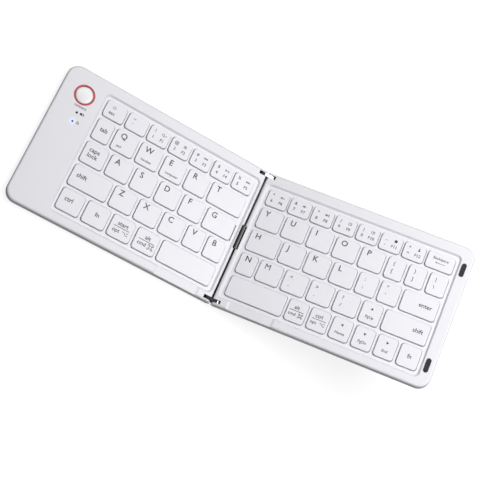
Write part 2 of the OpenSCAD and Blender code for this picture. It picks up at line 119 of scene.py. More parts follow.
# %% Floor, sky and lamps
scene.view_settings.view_transform = "Standard"
floor_mesh = bmesh.new()
bmesh.ops.create_grid(floor_mesh, x_segments=8, y_segments=8, size=3)
floor_data = bpy.data.meshes.new("floor")
floor_mesh.to_mesh(floor_data)
floor_mesh.free()
floor = bpy.data.objects.new("floor", floor_data)
scene.collection.objects.link(floor)
glow_reach = bpy.data.collections.new("floor_glow_reach")
glow_reach.objects.link(floor)
floor.light_linking.receiver_collection = glow_reach

sky = bpy.data.worlds.new("studio")
sky.use_nodes = True
sky.node_tree.nodes["Background"].inputs["Color"].default_value = (0.97, 0.975, 1.0, 1)
sky.node_tree.nodes["Background"].inputs["Strength"].default_value = 0.06
scene.world = sky


def lamp(name, place, size, power):
    """A round white lamp that looks at the origin."""
    data = bpy.data.lights.new(name, "AREA")
    data.shape = "DISK"
    data.size = size
    data.energy = power
    holder = bpy.data.objects.new(name, data)
    holder.location = place
    holder.rotation_euler = (Vector((0, 0, 0)) - Vector(place)).to_track_quat("-Z", "Y").to_euler()
    scene.collection.objects.link(holder)


lamp("overhead", (0.18, 0.05, 0.55), 0.4, 2.16)
lamp("rear", (0.0, 0.516, 0.737), 0.5, 1.58)
lamp("rear_left", (-0.365, 0.365, 0.737), 0.5, 1.13)
lamp("front", (0.0, -0.516, 0.737), 0.5, 1.57)

# %% [markdown]
# ## Writing materials as sums
#
# A node material is a sum of signals. `Signal` wraps one socket so that `0.4 + 0.1 * grain` adds the Math nodes
# by itself, and `Finish.node` adds any other node from its type, its settings and its inputs. It reads like the
# thought behind the finish, which a long list of links does not.

# %% Signal and Finish
class Signal:
    """One socket of a finish, with Python's own signs for its sums."""

    def __init__(self, finish, socket):
        self.finish = finish
        self.socket = socket

    def sum(self, operation, other, turned=False):
        first, second = (other, self) if turned else (self, other)
        return self.finish.node("ShaderNodeMath", {"operation": operation}, {0: first, 1: second})

    def __add__(self, other):
        return self.sum("ADD", other)

    def __rsub__(self, other):
        return self.sum("SUBTRACT", other, turned=True)

    def __mul__(self, other):
        return self.sum("MULTIPLY", other)

    def __gt__(self, other):
        return self.sum("GREATER_THAN", other)

    __radd__ = __add__
    __rmul__ = __mul__


class Finish:
    """A material being made: node() adds a node, shade() feeds the surface."""

    def __init__(self, name, **constants):
        self.material = bpy.data.materials.new(name)
        self.material.use_nodes = True
        self.tree = self.material.node_tree
        self.surface = self.tree.nodes["Principled BSDF"]
        for label, value in constants.items():
            self.surface.inputs[label.replace("_", " ")].default_value = value
        self.place = self.node("ShaderNodeTexCoord", out="Object")

    def link(self, value, socket):
        if isinstance(value, Signal):
            self.tree.links.new(value.socket, socket)
        else:
            socket.default_value = value

    def node(self, kind, settings=None, inputs=None, out=0):
        made = self.tree.nodes.new(kind)
        for name, value in (settings or {}).items():
            if name == "stops":
                ramp = made.color_ramp.elements
                while len(ramp) < len(value):
                    ramp.new(0.5)
                for stop, (position, colour) in zip(ramp, value):
                    stop.position, stop.color = position, (*colour, 1)
            else:
                setattr(made, name, value)
        for name, value in (inputs or {}).items():
            self.link(value, made.inputs[name])
        return Signal(self, made.outputs[out])

    def noise(self, size_mm, detail=2.0, stretch=(1, 1, 1)):
        """Cloudy noise whose spots are about size_mm across, from 0 to 1."""
        spread = self.node("ShaderNodeMapping", inputs={"Vector": self.place, "Scale": stretch})
        return self.node(
            "ShaderNodeTexNoise", inputs={"Vector": spread, "Scale": 1 / (size_mm * MM), "Detail": detail}
        )

    def blend(self, mask, low, high):
        low, high = (tone if isinstance(tone, Signal) else (*tone, 1) for tone in (low, high))
        return self.node("ShaderNodeMix", {"data_type": "RGBA"}, {0: mask, 6: low, 7: high}, out=2)

    def bumps(self, height, depth_mm, strength=1.0):
        return self.node(
            "ShaderNodeBump", inputs={"Height": height, "Distance": depth_mm * MM, "Strength": strength}, out="Normal"
        )

    def shade(self, **signals):
        for label, value in signals.items():
            self.link(value, self.surface.inputs[label.replace("_", " ")])
        return self.material


# %% [markdown]
# ## White moulded plastic
#
# The case and the keys are moulded from the same satin white resin, with a trace of violet. Moulded plastic is
# never one flat colour: the resin clouds a little over centimetres, and the mould's spark texture is a grain of
# about a fifth of a millimetre. Both are noise, so they have no seams and need no picture. The left case has one
# thing more: the blue signal lamp shines through the plastic round it, a glow that fades over three millimetres.

# %% Plastics
GLOW_FROM, GLOW_TO = 0.6, 3.2


def satin_plastic(name, colour, roughness, grain_depth, coat=0.0, lamp_at=None):
    made = Finish(name, Specular_IOR_Level=0.5, Coat_Roughness=0.25)
    if lamp_at:
        reach = made.node("ShaderNodeVectorMath", {"operation": "DISTANCE"}, {0: made.place, 1: lamp_at}, out="Value")
        near = made.node(
            "ShaderNodeMapRange", {"interpolation_type": "SMOOTHSTEP"},
            {"Value": reach, "From Min": GLOW_FROM * MM, "From Max": GLOW_TO * MM, "To Min": 1.0, "To Max": 0.0},
            out="Result",
        )
        made.surface.inputs["Emission Strength"].default_value = 0.35
        made.shade(Emission_Color=made.blend(near, (0, 0, 0), (0.25, 0.4, 1.0)))
    cloud = made.noise(26, detail=3)
    grain = made.noise(0.22, detail=2)
    dark = tuple(c * 0.965 for c in colour)
    made.surface.inputs["Coat Weight"].default_value = coat
    return made.shade(
        Base_Color=made.blend(cloud, dark, colour),
        Roughness=roughness - 0.07 + 0.08 * grain + 0.06 * cloud,
        Normal=made.bumps(grain, grain_depth),
    )


WHITE = (0.80, 0.79, 0.83)
SIGNAL_LAMP = (-130.0, 13.6)
case_plastic = satin_plastic("case_plastic", WHITE, 0.42, 0.006)
lit_case_plastic = satin_plastic(
    "lit_case_plastic", WHITE, 0.42, 0.006, lamp_at=tuple(LEFT @ Vector((*SIGNAL_LAMP, 0)))
)
cover_plastic = satin_plastic("cover_plastic", (0.72, 0.71, 0.75), 0.5, 0.012)
key_plastic = satin_plastic("key_plastic", (0.82, 0.81, 0.85), 0.4, 0.004)
button_plastic = satin_plastic("button_plastic", (0.88, 0.87, 0.90), 0.28, 0.001, coat=0.3)
clip_plastic = satin_plastic("clip_plastic", (0.75, 0.75, 0.74), 0.45, 0.004)


def floor_finish():
    made = Finish("floor_paint", Emission_Color=(1, 1, 1, 1), Emission_Strength=0.8)
    cloud = made.noise(300, detail=2)
    return made.shade(
        Base_Color=made.blend(cloud, (0.30, 0.30, 0.30), (0.32, 0.32, 0.32)), Roughness=0.9 + 0.05 * cloud
    )


floor_data.materials.append(floor_finish())
print(len(bpy.data.materials), "finishes so far")

# %% [markdown]
# ## Ink, rubber and metal
#
# The legends are a dark grey ink that soaks in unevenly. Rubber is dark, rough and slightly speckled. The metals
# are brushed: noise stretched many times longer along one axis makes the fine parallel scratches.

# %% Ink, rubber, metals and films
def ink_finish():
    made = Finish("legend_ink")
    blot = made.noise(0.35, detail=3)
    return made.shade(
        Base_Color=made.blend(blot, (0.018, 0.017, 0.02), (0.045, 0.043, 0.05)), Roughness=0.5 + 0.2 * blot
    )


def rubber_finish(name, colour):
    made = Finish(name, Specular_IOR_Level=0.3)
    speck = made.noise(0.3, detail=4)
    pale = tuple(c * 1.8 + 0.01 for c in colour)
    return made.shade(
        Base_Color=made.blend(speck, colour, pale), Roughness=0.65 + 0.25 * speck, Normal=made.bumps(speck, 0.02)
    )


def brushed_metal(name, colour, roughness, stretch=(0.04, 1, 1)):
    made = Finish(name, Metallic=1.0)
    scratch = made.noise(0.12, detail=3, stretch=stretch)
    tarnish = made.noise(7, detail=2)
    dark = tuple(c * 0.8 for c in colour)
    return made.shade(
        Base_Color=made.blend(0.6 * scratch + 0.4 * tarnish, dark, colour),
        Roughness=roughness + 0.18 * scratch,
        Normal=made.bumps(scratch, 0.004),
    )


legend_ink = ink_finish()
foot_rubber = rubber_finish("foot_rubber", (0.085, 0.085, 0.09))
bumper_rubber = rubber_finish("bumper_rubber", (0.020, 0.020, 0.018))
dome_rubber = rubber_finish("dome_rubber", (0.5, 0.51, 0.53))
plate_metal = brushed_metal("plate_metal", (0.70, 0.71, 0.73), 0.3)
pin_metal = brushed_metal("pin_metal", (0.05, 0.05, 0.055), 0.35, stretch=(1, 0.05, 1))
socket_metal = brushed_metal("socket_metal", (0.66, 0.66, 0.67), 0.22)
magnet_metal = brushed_metal("magnet_metal", (0.72, 0.71, 0.70), 0.15)


def link_finish(name, reflection_from, reflection_to):
    """A black link plate with a painted reflection: a bright stretch between two places across the fold, as in the
    photograph.
    """
    made = Finish(name, Metallic=1.0)
    across = made.node("ShaderNodeSeparateXYZ", inputs={0: made.place}, out="X")
    start, end = ((LINK @ Vector((u, 0, -PIN_DROP))).x for u in (reflection_from, reflection_to))
    # Painted reflection: the metal is made bright between these two places across the fold, standing in for studio
    # light mirrored by the plate; the rest stays black.
    painted_reflection = (across > start) * (1 - (across > end))
    scratch = made.noise(0.12, detail=3, stretch=(1, 0.05, 1))
    tone = made.blend(scratch, (0.02, 0.02, 0.022), (0.05, 0.05, 0.055))
    reflected_tone = made.blend(scratch, (0.68, 0.68, 0.70), (0.86, 0.86, 0.88))
    return made.shade(
        Base_Color=made.blend(painted_reflection, tone, reflected_tone), Roughness=0.34 + 0.15 * scratch, Normal=made.bumps(scratch, 0.004)
    )


# The two plates are one metal; they differ only in where the painted reflection lies.
front_link_metal = link_finish("front_link_metal", 3.4, 4.8)
rear_link_metal = link_finish("rear_link_metal", -2.3, 4.3)


def gloss_finish(name, colour, roughness, glow=None):
    made = Finish(name, Coat_Roughness=0.08)
    made.surface.inputs["Coat Weight"].default_value = 0.5
    swirl = made.noise(3, detail=3)
    if glow:
        made.surface.inputs["Emission Color"].default_value = (*glow[0], 1)
        made.surface.inputs["Emission Strength"].default_value = glow[1]
    dark = tuple(c * 0.8 for c in colour)
    return made.shade(
        Base_Color=made.blend(swirl, dark, colour), Roughness=roughness + 0.06 * swirl, Normal=made.bumps(swirl, 0.01)
    )


ring_plastic = gloss_finish("ring_plastic", (0.52, 0.003, 0.012), 0.3)
spine_plastic = gloss_finish("spine_plastic", (0.006, 0.006, 0.007), 0.35)
cable_film = gloss_finish("cable_film", (0.008, 0.008, 0.007), 0.25)
dark_lens = gloss_finish("dark_lens", (0.004, 0.004, 0.006), 0.15)
blue_lens = gloss_finish("blue_lens", (0.01, 0.02, 0.2), 0.15, glow=((0.02, 0.06, 0.9), 0.25))
cell_wrap = gloss_finish("cell_wrap", (0.62, 0.63, 0.66), 0.3)


def board_finish():
    made = Finish("board_lacquer", Coat_Roughness=0.1)
    made.surface.inputs["Coat Weight"].default_value = 0.4
    tracks = made.node(
        "ShaderNodeTexVoronoi", {"feature": "DISTANCE_TO_EDGE"}, {"Vector": made.place, "Scale": 420.0},
        out="Distance",
    )
    copper = tracks > 0.12
    return made.shade(
        Base_Color=made.blend(copper, (0.02, 0.16, 0.07), (0.008, 0.07, 0.035)),
        Roughness=0.35 + 0.1 * copper,
        Normal=made.bumps(copper, 0.02),
    )


board_lacquer = board_finish()
print(len(bpy.data.materials), "finishes in all")

# %% [markdown]
# ## Making a piece
#
# A piece is drawn flat in millimetres, carried to its half by one of the three matrices, and then told which
# body it moves with. Weighted normals let the big flat faces keep their own shading, so a soft edge reads as an
# edge and the top stays flat.

# %% Helpers for pieces
SHARP_ANGLE = 40


def as_object(name, drawing, finish, smooth=True):
    """Hands a drawing over to the scene, with its finish."""
    data = bpy.data.meshes.new(name)
    drawing.to_mesh(data)
    drawing.free()
    data.materials.append(finish)
    if smooth:
        data.shade_smooth()
        data.set_sharp_from_angle(angle=radians(SHARP_ANGLE))
    made = bpy.data.objects.new(name, data)
    scene.collection.objects.link(made)
    return made


def solid(name, drawing, home, body, finish, replaces=()):
    """Turns a drawing (a bmesh in millimetres) into a piece that rides on a body."""
    bmesh.ops.recalc_face_normals(drawing, faces=drawing.faces)
    drawing.transform(home)
    made = as_object(name, drawing, finish)
    flat_tops = made.modifiers.new("flat_tops", "WEIGHTED_NORMAL")
    flat_tops.keep_sharp = True
    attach(made, body)
    if replaces:
        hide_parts(*replaces)
    return made


def bevel(drawing, edges, width, segments):
    return bmesh.ops.bevel(
        drawing, geom=edges, offset=width, offset_type="OFFSET", segments=segments, profile=0.5,
        affect="EDGES", clamp_overlap=True, material=-1,
    )


def upright(edge):
    a, b = (v.co for v in edge.verts)
    return (a.xy - b.xy).length < 1e-4


def at_height(edge, z):
    return all(abs(v.co.z - z) < 1e-4 for v in edge.verts)


def rounded_block(size, corner, top_edge, low_edge=0.0, corner_segments=6, edge_segments=3):
    """A block round the origin with rounded upright corners and softened upper and lower edges."""
    drawing = bmesh.new()
    bmesh.ops.create_cube(drawing, size=1)
    bmesh.ops.scale(drawing, vec=size, verts=drawing.verts)
    bevel(drawing, [e for e in drawing.edges if upright(e)], corner, corner_segments)
    for z, width in ((size[2] / 2, top_edge), (-size[2] / 2, low_edge)):
        if width:
            bevel(drawing, [e for e in drawing.edges if at_height(e, z)], width, edge_segments)
    return drawing


def join(parts):
    """One drawing from several."""
    whole = bmesh.new()
    for part in parts:
        data = bpy.data.meshes.new("part")
        part.to_mesh(data)
        part.free()
        whole.from_mesh(data)
        bpy.data.meshes.remove(data)
    return whole


def moved(drawing, x, y, z):
    bmesh.ops.translate(drawing, vec=(x, y, z), verts=drawing.verts)
    return drawing


# %% [markdown]
# ## The layout of the keys
#
# Each row is written as in the engineering source: the row's middle, its depth, the gap, and every key's width
# from the hinge outwards. The last key of a row fills what is left, as on the real keyboard, where the rows
# start ragged at the fold and end flush at the outer side.

# %% Key places
KEYS_START = 6.4
LETTER_D, NUMBER_D = 14.4, 11.3
LEFT_ROWS = [
    (32.65, NUMBER_D, 1.68, [("5", 14.2), ("4", 14.2), ("3", 14.2), ("2", 14.2), ("1", 14.2), ("grave", 14.2),
                             ("esc", 0)]),
    (17.4, LETTER_D, 2.15, [("t", 25.15), ("r", 15.55), ("e", 15.55), ("w", 15.55), ("q", 15.55), ("tab", 0)]),
    (0.6, LETTER_D, 2.15, [("g", 21), ("f", 15.55), ("d", 15.55), ("s", 15.55), ("a", 15.55), ("caps", 0)]),
    (-16.2, LETTER_D, 2.15, [("b", 12.8), ("v", 12.9), ("c", 15.55), ("x", 15.55), ("z", 15.55), ("left_shift", 0)]),
    (-33, LETTER_D, 2.15, [("left_space", 38.7), ("left_alt", 15.55), ("start", 15.55), ("left_fn", 15.55),
                           ("left_ctrl", 0)]),
]
RIGHT_ROWS = [
    (32.65, NUMBER_D, 1.67, [("6", 14.2), ("7", 14.2), ("8", 14.2), ("9", 14.2), ("0", 14.2), ("minus", 14.2),
                             ("equals", 14.2), ("backspace", 0)]),
    (17.4, LETTER_D, 2.3, [("y", 15.5), ("u", 15.5), ("i", 15.5), ("o", 15.5), ("p", 15.5), ("open_bracket", 11.8),
                           ("close_bracket", 11.8), ("backslash", 0)]),
    (0.6, LETTER_D, 2.1, [("h", 20.4), ("j", 15.6), ("k", 15.6), ("l", 15.6), ("semicolon", 12.9), ("quote", 13),
                          ("enter", 0)]),
    (-16.2, LETTER_D, 2.15, [("n", 11.5), ("m", 15.55), ("comma", 15.55), ("period", 15.55), ("slash", 15.55),
                             ("up", 13), ("right_shift", 0)]),
    (-33, LETTER_D, 2.25, [("right_space", 38.5), ("right_alt", 12.8), ("right_ctrl", 12.8), ("left", 12.8),
                           ("down", 12.8), ("right", 12.8), ("right_fn", 0)]),
]
GROUPS = {
    "left_number_keys": ["esc", "grave", "1", "2", "3", "4", "5"],
    "left_function_keys": ["tab", "caps", "left_shift", "left_ctrl", "left_fn", "start", "left_alt"],
    "right_number_keys": ["6", "7", "8", "9", "0", "minus", "equals", "backspace"],
    "right_symbol_keys": ["open_bracket", "close_bracket", "backslash", "semicolon", "quote", "comma", "period",
                          "slash"],
    "right_function_keys": ["right_shift", "right_alt", "right_ctrl", "right_fn", "up", "left", "down", "right"],
}


def key_places(rows, end, side):
    """Name of each key: (x, y, width, depth). side is -1 on the left half, 1 on the right."""
    found = {}
    for y, depth, gap, keys in rows:
        start = KEYS_START
        for name, width in keys:
            width = width or end - start
            found[name] = (side * (start + width / 2), y, width, depth)
            start += width + gap
    return found


left_keys = key_places(LEFT_ROWS, 115.9, -1)
right_keys = key_places(RIGHT_ROWS, 135.6, 1)
node_of = {key: group for group, keys in GROUPS.items() for key in keys}
for key in {**left_keys, **right_keys}:
    node_of.setdefault(key, "key_" + key)
keys_of = {}
for key, node in node_of.items():
    keys_of.setdefault(node, []).append(key)
print(len(left_keys), "keys on the left,", len(right_keys), "on the right,", len(keys_of), "nodes")

# %% [markdown]
# ## Keycaps
#
# A flat island key is a shallow box, open below: a block, its upright corners rounded, the rim of its top
# softened, and its underside inset and pushed up to leave a wall of 0.9 mm. Operators do this in four steps. The
# plain way of a scaled cube would leave knife edges, which catch no light.

# %% Build the keycaps
CAP_TOP, CAP_H, CAP_R, CAP_EDGE, CAP_WALL, CAP_ROOF = -0.05, 2.2, 2.0, 0.45, 0.9, 0.9


def keycap(width, depth):
    cap = rounded_block((width, depth, CAP_H), CAP_R, CAP_EDGE, corner_segments=8)
    under = [f for f in cap.faces if f.normal.z < -0.9]
    bmesh.ops.inset_region(cap, faces=under, thickness=CAP_WALL, use_even_offset=True)
    roof = bmesh.ops.extrude_face_region(cap, geom=under)
    lifted = [v for v in roof["geom"] if isinstance(v, bmesh.types.BMVert)]
    bmesh.ops.delete(cap, geom=under, context="FACES_ONLY")
    bmesh.ops.translate(cap, vec=(0, 0, CAP_H - CAP_ROOF), verts=lifted)
    return cap


def home_of(key):
    return (left_keys[key], LEFT, "left_half") if key in left_keys else (right_keys[key], RIGHT, "right_half")


body_of_node = {node: body for body, nodes in frame["record"]["behaviour"]["bodies"].items() for node in nodes}
for node, keys in keys_of.items():
    caps = []
    for key in keys:
        (x, y, width, depth), home, _ = home_of(key)
        caps.append(moved(keycap(width, depth), x, y, CAP_TOP - CAP_H / 2))
    solid("cap_" + node.replace("key_", ""), join(caps), home, body_of_node[node], key_plastic,
          replaces=[node])
print(len(keys_of), "keycap pieces")

# %% [markdown]
# ## Legends
#
# The legends are plain letters, digits and words, as on any keyboard. They are set as text, turned into meshes
# all at once and laid a fiftieth of a millimetre above the surface, one piece for each node so that they travel
# with their keys. Ink drawn by the key's material would have to know every outline; text already does. The built-in
# face is thinner than the keyboard's own, so each outline is pushed outwards a little.

# %% Where a mark is printed
LIFT = 0.02


def bed_of(key):
    """The surface a mark is printed on: its middle, its height, the frame it lies in and its node."""
    if key == "bare_strip":
        return -130.0, 20.0, 0.0, LEFT, "left_top_frame"
    (x, y, _, _), home, _ = home_of(key)
    return x, y, CAP_TOP, home, node_of[key]


def from_left(key, inset):
    return inset - home_of(key)[0][2] / 2


def from_right(key, inset):
    return home_of(key)[0][2] / 2 - inset


# %% Set the type
set_type = []


def letter(key, text, size, x, y, align="LEFT", weight=0.014):
    """Queues a line of text on a key, x and y in millimetres from the cap's middle.

    weight thickens the strokes. The M stays as drawn, because its strokes would run into one another.
    """
    curve = bpy.data.curves.new("type", "FONT")
    curve.body, curve.size, curve.align_x, curve.align_y = text, size, align, "CENTER"
    curve.offset = 0 if text == "M" else weight * size
    curve.resolution_u = 3
    placed = bpy.data.objects.new("type", curve)
    scene.collection.objects.link(placed)
    set_type.append((key, placed, x, y))


for key in "qwertasdfgzxcvbyuiophjklnm":
    letter(key, key.upper(), 5.4, from_left(key, 3.3), 3.6)
for key, text in (("tab", "tab"), ("left_shift", "shift"), ("left_ctrl", "ctrl")):
    letter(key, text, 4.1, from_left(key, 3.3), 0.7)
letter("caps", "caps", 4.1, from_left("caps", 3.2), 2.5)
letter("caps", "lock", 4.1, from_left("caps", 3.2), -1.3)
letter("left_fn", "fn", 4.1, 0.5, 0.4, "CENTER")
letter("right_fn", "fn", 3.8, 0.3, 0.1, "CENTER")
for key, text in (("enter", "enter"), ("right_shift", "shift")):
    letter(key, text, 4.0, from_right(key, 3.6), 0.5, "RIGHT")
for key, text in (("q", "pad"), ("w", "handset"), ("e", "computer")):
    letter(key, text, 2.3, from_left(key, 3.3), -3.6)
for key, upper, lower in (("start", "start", "opt"), ("left_alt", "alt", "cmd")):
    letter(key, upper, 3.9, 0.2, 2.6, "CENTER")
    letter(key, lower, 3.6, -5.4, -2.2)
for key, upper, lower in (("right_alt", "alt", "cmd"), ("right_ctrl", "ctrl", "opt")):
    letter(key, upper, 3.6, -0.4, 2.5, "CENTER")
    letter(key, lower, 3.0, -4.9, -2.2)
letter("backspace", "Backspace", 2.5, -0.2, 1.7, "CENTER")
PAIRS = {"open_bracket": "{[", "close_bracket": "}]", "backslash": "|\\", "semicolon": ":;", "quote": "\"'",
         "comma": "<,", "period": ">.", "slash": "?/", "grave": "~`"}
for key, (upper, lower) in PAIRS.items():
    letter(key, upper, 3.4, from_left(key, 4.3), 3.2 if key != "grave" else 2.4, "CENTER")
    letter(key, lower, 3.4, from_left(key, 4.3), -2.0 if key != "grave" else -1.8, "CENTER")
for key, text in (("up", "PgUp"), ("left", "Home"), ("down", "PgDn"), ("right", "End")):
    letter(key, text, 2.6, 0, -2.7, "CENTER")
letter("esc", "esc", 3.2, from_left("esc", 3.2), -1.8)
NUMBER_ROW = ["1", "2", "3", "4", "5", "6", "7", "8", "9", "0", "minus", "equals"]
for order, key in enumerate(NUMBER_ROW):
    letter(key, "!@#$%^&*()_+"[order], 3.0, from_left(key, 3.5), 2.5, "CENTER")
    letter(key, "1234567890-="[order], 3.0, from_left(key, 3.5), -1.8, "CENTER")
    letter(key, "F%d" % (order + 1), 2.9, 2.7, -1.8, "CENTER")
letter("bare_strip", "connect", 2.5, 0.3, 4.3, "CENTER")
print(len(set_type), "lines of type")

# %% [markdown]
# ## Small signs
#
# The number row carries the usual media signs, the arrow keys a small triangle, and the bare strip a cell and a
# wave beside the lamps. They are cut from discs, bars and bent strips. At this size only their weight shows, so
# each is kept to a few faces.

# %% Strokes
signs = []


def disc(key, x, y, radius, sides=16, turned=0.0):
    """A filled round. With three sides it is an arrowhead, which points to the rear at 0 and to the left at 90."""
    mark = bmesh.new()
    bmesh.ops.create_circle(mark, cap_ends=True, radius=radius, segments=sides)
    bmesh.ops.rotate(mark, verts=mark.verts, matrix=Matrix.Rotation(radians(turned), 3, "Z"))
    signs.append((key, moved(mark, x, y, 0)))


def bar(key, x, y, length, height, turned=0.0):
    mark = bmesh.new()
    bmesh.ops.create_grid(mark, x_segments=1, y_segments=1, size=0.5)
    bmesh.ops.scale(mark, vec=(length, height, 1), verts=mark.verts)
    bmesh.ops.rotate(mark, verts=mark.verts, matrix=Matrix.Rotation(radians(turned), 3, "Z"))
    signs.append((key, moved(mark, x, y, 0)))


def arc(key, x, y, radius, line=0.28, start=0, sweep=360):
    """A bent strip: one short edge carried round by the spin operator."""
    mark = bmesh.new()
    tip = [mark.verts.new((radius + side * line / 2, 0, 0)) for side in (-1, 1)]
    mark.edges.new(tip)
    bmesh.ops.rotate(mark, verts=mark.verts, matrix=Matrix.Rotation(radians(start), 3, "Z"))
    bmesh.ops.spin(mark, geom=mark.verts[:] + mark.edges[:], cent=(0, 0, 0), axis=(0, 0, 1), angle=radians(sweep),
                   steps=max(4, sweep // 20), use_merge=sweep == 360)
    signs.append((key, moved(mark, x, y, 0)))


def frame_of(key, x, y, width, height, line=0.28):
    """Four bars round a rectangle."""
    for way in (-1, 1):
        bar(key, x, y + way * (height - line) / 2, width, line)
        bar(key, x + way * (width - line) / 2, y, line, height)


# %% Signs of the arrow, option and command keys
for key, turned in (("up", 0), ("left", 90), ("down", 180), ("right", 270)):
    disc(key, 0, 2.9, 1.1, sides=3, turned=turned)
for key, x, scale_of in (("start", 3.3, 1.0), ("right_ctrl", 3.0, 0.8)):
    bar(key, 0, 0.3, 11.0 * scale_of + 0.6 * (scale_of < 1), 0.38)
    bar(key, x - 1.5 * scale_of, -1.4, 1.3 * scale_of, 0.36)
    bar(key, x, -2.2, 2.4 * scale_of, 0.36, turned=-48)
    bar(key, x + 1.5 * scale_of, -3.0, 1.7 * scale_of, 0.36)
    bar(key, x + 1.4 * scale_of, -1.4, 1.7 * scale_of, 0.36)
for key, x, loop in (("left_alt", 3.9, 0.62), ("right_alt", 3.3, 0.5)):
    bar(key, 0, 0.3, 11.0 if loop > 0.6 else 9.4, 0.38)
    frame_of(key, x, -2.2, 3.2 * loop, 3.2 * loop, 0.3)
    for across in (-1, 1):
        for along in (-1, 1):
            arc(key, x + across * 2.1 * loop, -2.2 + along * 2.1 * loop, 0.85 * loop, 0.3)
bar("backspace", 0.3, -1.2, 6.4, 0.3)
disc("backspace", -2.4, -1.2, 0.7, sides=3, turned=90)

# %% Signs of the number row
SIGN_X, SIGN_Y = 2.7, 2.3
arc("esc", -1.6, 2.2, 0.85)
arc("1", SIGN_X - 0.5, SIGN_Y + 0.15, 0.8)
bar("1", SIGN_X + 0.3, SIGN_Y - 0.75, 1.0, 0.3, turned=-45)
bar("1", SIGN_X + 1.4, SIGN_Y, 1.0, 0.28)
bar("1", SIGN_X + 1.4, SIGN_Y, 0.28, 1.0)
arc("2", SIGN_X, SIGN_Y, 0.95)
disc("2", SIGN_X, SIGN_Y, 0.45)
for key, way in (("3", 90), ("5", 270)):
    for shift in (-0.75, 0.45):
        disc(key, SIGN_X + shift, SIGN_Y, 0.85, sides=3, turned=way)
    bar(key, SIGN_X + (1.5 if key == "5" else -1.7), SIGN_Y, 0.28, 1.4)
disc("4", SIGN_X - 0.9, SIGN_Y, 0.9, sides=3, turned=270)
for shift in (0.6, 1.3):
    bar("4", SIGN_X + shift, SIGN_Y, 0.32, 1.5)
for key, waves in (("6", 0), ("7", 1), ("8", 2)):
    bar(key, SIGN_X - 1.1, SIGN_Y, 0.7, 0.8)
    disc(key, SIGN_X - 0.5, SIGN_Y, 0.95, sides=3, turned=90)
    for wave in range(waves):
        arc(key, SIGN_X - 0.3, SIGN_Y, 0.9 + 0.6 * wave, start=-45, sweep=90)
bar("6", SIGN_X + 0.9, SIGN_Y, 1.2, 0.28, turned=45)
bar("6", SIGN_X + 0.9, SIGN_Y, 1.2, 0.28, turned=-45)
for key in ("9", "0"):
    frame_of(key, SIGN_X, SIGN_Y, 2.2, 1.8)
bar("9", SIGN_X + 0.5, SIGN_Y - 0.3, 1.2, 0.28)
disc("0", SIGN_X + 0.35, SIGN_Y + 0.3, 0.6, sides=3, turned=330)
arc("minus", SIGN_X, SIGN_Y, 0.75, 0.5)
for turned in (0, 45, 90, 135):
    bar("minus", SIGN_X, SIGN_Y, 2.3, 0.3, turned=turned)
disc("equals", SIGN_X, SIGN_Y - 0.35, 1.05, sides=3, turned=0)
arc("equals", SIGN_X, SIGN_Y + 0.75, 0.35, 0.26)

# %% Signs of the bare strip, each beside its lamp
frame_of("bare_strip", 3.2, 0.2, 2.4, 1.5)
bar("bare_strip", 4.6, 0.2, 0.4, 0.8)
bar("bare_strip", 2.9, 0.2, 1.3, 0.9)
disc("bare_strip", 2.6, -6.7, 0.35)
for radius in (0.9, 1.55):
    arc("bare_strip", 2.6, -6.7, radius, 0.34, start=-10, sweep=100)
print(len(signs), "small signs")

# %% Lay the legends on the caps
bpy.context.view_layer.update()
graph = bpy.context.evaluated_depsgraph_get()
printed = {}
for key, placed, x, y in set_type:
    outline = bpy.data.meshes.new_from_object(placed.evaluated_get(graph))
    drawing = bmesh.new()
    drawing.from_mesh(outline)
    printed.setdefault(bed_of(key)[4], []).append((key, moved(drawing, x, y, 0)))
    bpy.data.meshes.remove(outline)
for key, placed, x, y in set_type:
    bpy.data.objects.remove(placed)
for key, mark in signs:
    printed.setdefault(bed_of(key)[4], []).append((key, mark))


def face_up(drawing):
    turned = [f for f in drawing.faces if f.normal.z < 0]
    bmesh.ops.reverse_faces(drawing, faces=turned)
    return drawing


def print_on(name, marks, home, body, finish):
    """A flat piece that lies on a surface. Its faces all look up."""
    drawing = face_up(join(marks))
    drawing.transform(home)
    made = as_object(name, drawing, finish, smooth=False)
    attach(made, body)
    return made


for node, marks in printed.items():
    laid = []
    for key, mark in marks:
        x, y, z, home, _ = bed_of(key)
        mark.normal_update()
        laid.append(moved(mark, x, y, z + LIFT))
    made = print_on("legend_" + node.replace("key_", ""), laid, home, body_of_node[node], legend_ink)
    "case" if node == "left_top_frame" else "keycap"
print(len(printed), "legend pieces")

# %% [markdown]
# ## Connect button, ring and lamps
#
# The round button is a low dome inside a red ring. Both are turned shapes, so each is a half section spun
# through a full circle: the same move as a lathe, and every point lands on a true circle.

# %% Turned pieces
BUTTON = (-130.7, 32.5)


def turned_piece(section, steps=64):
    """Spins a section, given as (radius, height) points, into a closed solid."""
    drawing = bmesh.new()
    points = [drawing.verts.new((r, 0, z)) for r, z in section]
    for a, b in zip(points, points[1:]):
        drawing.edges.new((a, b))
    bmesh.ops.spin(
        drawing, geom=drawing.verts[:] + drawing.edges[:], cent=(0, 0, 0), axis=(0, 0, 1), angle=radians(360),
        steps=steps, use_merge=True,
    )
    bmesh.ops.remove_doubles(drawing, verts=drawing.verts, dist=1e-4)
    return drawing


